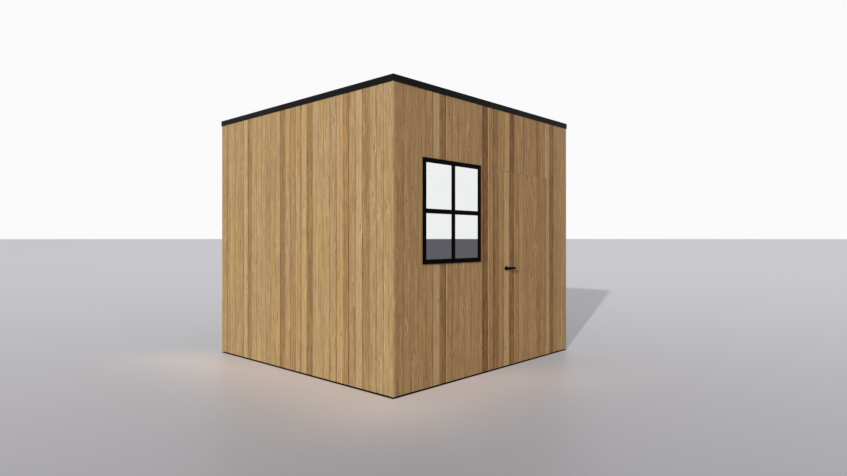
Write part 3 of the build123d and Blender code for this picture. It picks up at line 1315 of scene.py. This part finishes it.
@dataclass
class Window:
    """The fixed four-light window: frame, bars, mirror glass and its rubber beads."""

    coat: CoatFinish
    glass: GlassFinish
    rubber: CoatFinish
    bead: float = 0.0032
    bead_smooth: float = math.radians(50)
    bead_shares: tuple[Point2, ...] = ((0.0, 0.0), (0.0, 1.0), (0.5, 0.87), (0.87, 0.5), (1.0, 0.0))
    easing: float = 0.0009
    frame_nodes: tuple[str, ...] = (
        "window_frame_head",
        "window_frame_sill",
        "window_frame_left",
        "window_frame_right",
        "window_mullion",
        "window_transoms",
    )

    def build(self) -> None:
        """Dress the frame and the glass and lay the beads."""
        dress(self.coat, self.frame_nodes, self.easing)
        dress(self.glass, ["window_panes"])
        self.beads()

    def lights(self) -> list[Hole]:
        """Measure the clear openings between the frame and the bars.

        Returns:
            The four openings.
        """
        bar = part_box("window_mullion")
        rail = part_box("window_transoms")
        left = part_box("window_frame_left")[1][0]
        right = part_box("window_frame_right")[0][0]
        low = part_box("window_frame_sill")[1][2]
        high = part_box("window_frame_head")[0][2]
        columns = ((left, bar[0][0]), (bar[1][0], right))
        rows = ((low, rail[0][2]), (rail[1][2], high))
        return [Hole(*column, *row) for column in columns for row in rows]

    def beads(self) -> None:
        """Lay a rubber bead round the outside of each pane."""
        beads = PieceMesh()
        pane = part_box("window_panes")[0][1]
        for light in self.lights():
            corners = (
                (light.left, light.low, 1, 1),
                (light.right, light.low, -1, 1),
                (light.right, light.high, -1, -1),
                (light.left, light.high, 1, -1),
            )
            rings = [
                [
                    Vector((
                        x + turn_x * self.bead * inward,
                        pane - self.bead * outward,
                        z + turn_z * self.bead * inward,
                    ))
                    for inward, outward in self.bead_shares
                ]
                for x, z, turn_x, turn_z in corners
            ]
            beads.loft(rings, closed=True)
        beads.piece("window_beads", "pod", self.rubber, smooth=self.bead_smooth)


@dataclass
class Door:
    """The flush door's frame, threshold, leaf and continuous hinge."""

    coat: CoatFinish
    lining: LiningFinish
    hinge: CoatFinish
    threshold: CoatFinish
    seal: CoatFinish
    seal_sunk: float = 0.0025
    seal_depth: float = 0.012
    seal_play: float = 0.0014
    seal_smooth: float = math.radians(30)
    lip_shares: tuple[Point2, ...] = (
        (0.0, 0.0), (0.7, 0.0), (1.0, 0.12), (1.0, 0.45), (0.55, 0.6), (0.55, 1.0), (0.0, 1.0)
    )

    def build(self) -> None:
        """Dress the door's CAD nodes and fit the seal."""
        self.fit_seal()
        dress(self.coat, ["door_jamb_latch", "door_frame_head", "door_jamb_hinge"])
        dress(self.lining, ["door_leaf"])
        dress(self.hinge, ["hinge_frame_leaf", "hinge_door_leaf"])
        dress(self.threshold, ["door_threshold"])

    def fit_seal(self) -> None:
        """Fit a soft lipped seal in the gap up the latch side and over the leaf."""
        leaf = Field.of_node(Facing.FRONT, "door_cladding")
        over = Field.of_node(Facing.FRONT, "front_cladding_over_door")
        face = -over.outer + self.seal_sunk
        gap_side = leaf.left - over.left - self.seal_play
        gap_head = over.low - leaf.high - self.seal_play
        lip = self.lip_shares
        corners = (
            [(over.left + gap_side * a, leaf.low, b) for a, b in lip],
            [(over.left + gap_side * a, over.low - gap_head * a, b) for a, b in lip],
            [(over.right, over.low - gap_head * a, b) for a, b in lip],
        )
        seal = PieceMesh()
        seal.loft([
            [Vector((x, face + self.seal_depth * depth, z)) for x, z, depth in ring]
            for ring in corners
        ])
        seal.piece("door_seal", "pod", self.seal, smooth=self.seal_smooth)


@dataclass
class LeverSet:
    """Round-bar levers on round roses, one each side of the door."""

    finish: CoatFinish
    bend: float = 0.018
    bend_steps: int = 10
    dome: float = 0.0045
    dome_steps: int = 6
    root_gap: float = 0.0005
    rose_edge: float = 0.0022
    rose_steps: int = 5
    bore_play: float = 0.0004
    bore_lip: float = 0.0006
    round_steps: int = 40
    smooth: float = math.radians(35)

    def build(self) -> None:
        """Build both levers and both roses."""
        leaf = Field.of_node(Facing.FRONT, "door_cladding")
        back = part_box("door_leaf")[1][1]
        for side, face, out in (("outside", -leaf.outer, -1.0), ("inside", back, 1.0)):
            self.lever(side, face, out)
            self.rose(side, face, out)

    def spindle(self, side: str) -> tuple[float, float]:
        """The middle of a rose, across and up the door."""
        low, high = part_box(f"rose_{side}")
        return (low[0] + high[0]) / 2, (low[2] + high[2]) / 2

    def lever(self, side: str, face: float, out: float) -> None:
        """Sweep one lever out from the door, round its bend and along to its tip.

        Args:
            side: Outside or inside.
            face: Where the door's face lies.
            out: The way out from that face along Y.
        """
        x, z = self.spindle(side)
        low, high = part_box(f"lever_{side}")
        radius = (high[2] - low[2]) / 2
        reach = (face - low[1] if out < 0 else high[1] - face) - radius
        tip = high[0]
        stations: list[tuple[Vector, Vector, float]] = []
        along, away = Vector((1, 0, 0)), Vector((0, out, 0))
        start = Vector((x, face, z))
        for distance in (self.root_gap, reach - self.bend):
            stations.append((start + away * distance, away, radius))
        centre = start + away * (reach - self.bend) + along * self.bend
        for turn in quarter_turn(self.bend_steps)[1:]:
            place = centre - along * self.bend * math.cos(turn) + away * self.bend * math.sin(turn)
            heading = away * math.cos(turn) + along * math.sin(turn)
            stations.append((place, heading, radius))
        line = start + away * reach
        for turn in quarter_turn(self.dome_steps):
            end = tip - x - self.dome * (1 - math.sin(turn))
            narrow = radius - self.dome * (1 - math.cos(turn))
            stations.append((line + along * end, along, narrow))
        up = Vector((0, 0, 1))
        bar = PieceMesh()
        bar.loft([
            [place + (heading.cross(up) * a + up * b) * size for a, b in circle(self.round_steps)]
            for place, heading, size in stations
        ])
        bar.piece(f"lever_bar_{side}", "lever", self.finish, [f"lever_{side}"], self.smooth)

    def rose(self, side: str, face: float, out: float) -> None:
        """Turn one rose with a rounded rim and a bore for the lever's neck.

        Args:
            side: Outside or inside.
            face: Where the door's face lies.
            out: The way out from that face along Y.
        """
        x, z = self.spindle(side)
        low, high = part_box(f"rose_{side}")
        radius = (high[0] - low[0]) / 2
        thickness = high[1] - low[1]
        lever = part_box(f"lever_{side}")
        bore = (lever[1][2] - lever[0][2]) / 2 + self.bore_play
        edge = self.rose_edge
        rim = [
            (radius - edge * (1 - math.cos(turn)), thickness - edge * (1 - math.sin(turn)))
            for turn in quarter_turn(self.rose_steps)
        ]
        lip = self.bore_lip
        profile = [
            (bore, 0.0), (radius, 0.0), *rim, (bore + lip, thickness), (bore, thickness - lip)
        ]
        ring = circle(self.round_steps)
        rose = PieceMesh()
        rose.loft(
            [
                [Vector((x + size * a, face + out * depth, z + size * b)) for a, b in ring]
                for size, depth in profile
            ],
            closed=True,
        )
        rose.piece(f"rose_disc_{side}", "door", self.finish, [f"rose_{side}"], self.smooth)


@dataclass
class Roof:
    """The flat roof: rubber membrane in its tray and the thin coping round it."""

    coat: CoatFinish
    membrane: MembraneFinish
    lining: LiningFinish
    easing: float = 0.0006

    def build(self) -> None:
        """Dress the roof's CAD nodes."""
        copings = ["coping_front", "coping_right", "coping_back", "coping_left"]
        dress(self.coat, copings, self.easing)
        dress(self.membrane, ["roof_membrane"])
        dress(self.lining, ["roof_panel"])


@dataclass
class Room:
    """The inside: lined walls and a plank floor."""

    lining: LiningFinish
    planks: TimberFinish
    plank_count: int = 15
    plank_joint: float = 0.0006
    plank_easing: float = 0.0008
    plank_tones: tuple[Tone, ...] = (Tone.TAN, Tone.BROWN, Tone.HONEY, Tone.TAN, Tone.RUSSET)
    end_shares: tuple[float, ...] = (0.25, 0.59, 0.42)
    dice: random.Random = field(default_factory=lambda: random.Random(5))
    panels: tuple[str, ...] = (
        "left_wall_panel",
        "right_wall_panel",
        "back_wall_panel",
        "front_wall_window_panel",
        "front_wall_hinge_panel",
        "front_wall_over_door",
    )

    def build(self) -> None:
        """Dress the wall panels and lay the floor."""
        dress(self.lining, self.panels)
        space = Field.of_node(Facing.FLOOR, "floor_finish")
        floor = PieceMesh()
        joints = space.joints(self.plank_count)
        gap = self.plank_joint / 2
        for row, (left, right) in enumerate(zip(joints, joints[1:])):
            end_share = self.end_shares[row % len(self.end_shares)]
            first = space.low + (space.high - space.low) * end_share
            for low, high in ((space.low, first), (first, space.high)):
                outline = [
                    (left + gap, low + gap), (right - gap, low + gap),
                    (right - gap, high - gap), (left + gap, high - gap),
                ]
                shift = cut_place(self.dice)
                tone = self.dice.choice(self.plank_tones)
                floor.board(space, outline, tone.value, self.plank_easing, 0.0, shift)
        floor.piece("floor_planks", "pod", self.planks, ["floor_finish"])


@dataclass
class Base:
    """Bearers on the ground and the floor panel's edge."""

    sawn: SawnFinish

    def build(self) -> None:
        """Dress the base's CAD nodes."""
        dress(self.sawn, ["base_cross_bearers", "base_side_bearers", "floor_panel"])


@dataclass
class Studio:
    """Camera at the photograph's angle, pale floor, white surround and soft light."""

    floor: StudioFloorFinish
    camera_place: Direction = (-4.962, -5.073, 1.392)
    camera_turn: float = math.radians(-47.11)
    lens: float = 24.40
    sensor: float = 36.0
    floor_reach: float = 810.0
    floor_sides: int = 128
    ambient: float = 0.49
    shade_colour: Colour = (0.945, 0.97, 1.11)
    white: float = 0.96
    key_power: float = 2.1
    key_colour: Colour = (1.0, 0.985, 0.96)
    key_angle: float = math.radians(1.4)
    key_from: Direction = (-0.8856, -0.3457, 0.309)

    def build(self) -> None:
        """Set up the view, the floor, the surround and the lamp."""
        scene = bpy.context.scene
        scene.view_settings.view_transform = "Standard"
        self.camera(scene)
        self.ground(scene)
        self.surround(scene)
        self.key(scene)

    def camera(self, scene: bpy.types.Scene) -> None:
        """Stand the level camera in front of the near corner.

        Args:
            scene: The scene.
        """
        lens = bpy.data.cameras.new("camera")
        lens.lens = self.lens
        lens.sensor_width = self.sensor
        lens.clip_end = self.floor_reach * 2
        camera = bpy.data.objects.new("camera", lens)
        camera.location = self.camera_place
        camera.rotation_euler = (math.pi / 2, 0.0, self.camera_turn)
        scene.collection.objects.link(camera)
        scene.camera = camera

    def ground(self, scene: bpy.types.Scene) -> None:
        """Lay the floor out to the horizon.

        Args:
            scene: The scene.
        """
        reach = self.floor_reach
        edge = [(reach * a, reach * b, 0.0) for a, b in circle(self.floor_sides)]
        mesh = bpy.data.meshes.new("studio_floor")
        mesh.from_pydata(edge, [], [tuple(range(self.floor_sides))])
        mesh.materials.append(self.floor.material())
        floor = bpy.data.objects.new("studio_floor", mesh)
        scene.collection.objects.link(floor)

    def surround(self, scene: bpy.types.Scene) -> None:
        """White where the camera, metal or glass sees it, softer where it only lights.

        Args:
            scene: The scene.
        """
        world = scene.world or bpy.data.worlds.new("surround")
        scene.world = world
        world.use_nodes = True
        tree = ShaderTree(world.node_tree)
        rays = tree.node("ShaderNodeLightPath", output="Is Camera Ray")
        seen = rays + rays.other("Is Glossy Ray") + rays.other("Is Transmission Ray")
        strength = self.ambient + seen * (self.white - self.ambient)
        colour = tree.mix(seen, self.shade_colour, (1.0, 1.0, 1.0))
        light = tree.node("ShaderNodeBackground", {}, {"Color": colour, "Strength": strength})
        tree.node("ShaderNodeOutputWorld", {}, {"Surface": light})

    def key(self, scene: bpy.types.Scene) -> None:
        """Set one distant lamp low on the left, which leaves no glare on the floor.

        Args:
            scene: The scene.
        """
        lamp = bpy.data.lights.new("key", "SUN")
        lamp.energy = self.key_power
        lamp.angle = self.key_angle
        lamp.color = self.key_colour
        key = bpy.data.objects.new("key", lamp)
        key.visible_glossy = False
        key.rotation_euler = Vector(self.key_from).to_track_quat("Z", "Y").to_euler()
        scene.collection.objects.link(key)


def main() -> None:
    """Build the sub-assemblies in order."""
    logging.basicConfig(level=logging.INFO, format="%(name)s %(message)s")
    timber = TimberFinish("oiled_timber", "cladding_timber")
    coping_coat = CoatFinish("coping_coat", "coping_metal", specular=0.055)
    frame_coat = CoatFinish("window_coat", "window_frame", colour=paint(6, 6, 7), specular=0.02)
    rubber = CoatFinish("glazing_rubber", "window_frame", colour=paint(14, 14, 14), roughness=0.7)
    door_coat = CoatFinish("door_frame_coat", "door_frame")
    hinge = CoatFinish(
        "board_toned_hinge", "hinge_metal", colour=paint(146, 116, 82), roughness=0.5
    )
    # Painted light in the door gap: the seal is paler than the boards, so the gap shows a pale line
    # where it would be in shade
    seal = CoatFinish(
        "board_toned_seal", "door_frame", colour=paint(202, 172, 132), roughness=0.8
    )
    threshold = CoatFinish(
        "threshold_metal", "threshold_metal", colour=paint(90, 90, 92), roughness=0.35, metallic=0.9
    )
    handle = CoatFinish(
        "handle_coat", "handle_metal", colour=paint(4, 4, 5), roughness=0.42, specular=0.03
    )
    lining = LiningFinish("wall_plywood", "wall_lining")
    ceiling = LiningFinish("ceiling_plywood", "wall_lining", across=(1.0, 0.0, 0.0))
    door_lining = LiningFinish("door_plywood", "door_lining", sheet=6.0)
    planks = TimberFinish(
        "floor_timber", "floor_finish", pale=paint(178, 152, 118), deep=paint(138, 110, 80),
        roughness=0.42,
    )
    assemblies = (
        Studio(StudioFloorFinish("studio_floor", "")),
        Base(SawnFinish("stained_bearers", "base_timber")),
        Cladding(timber),
        Window(frame_coat, GlassFinish("mirror_glass", "window_glass"), rubber),
        Door(door_coat, door_lining, hinge, threshold, seal),
        LeverSet(handle),
        Roof(coping_coat, MembraneFinish("roof_rubber", "roof_membrane"), ceiling),
        Room(lining, planks),
    )
    for assembly in assemblies:
        assembly.build()
        LOG.info("%s done", type(assembly).__name__)


if __name__ == "__main__":
    main()
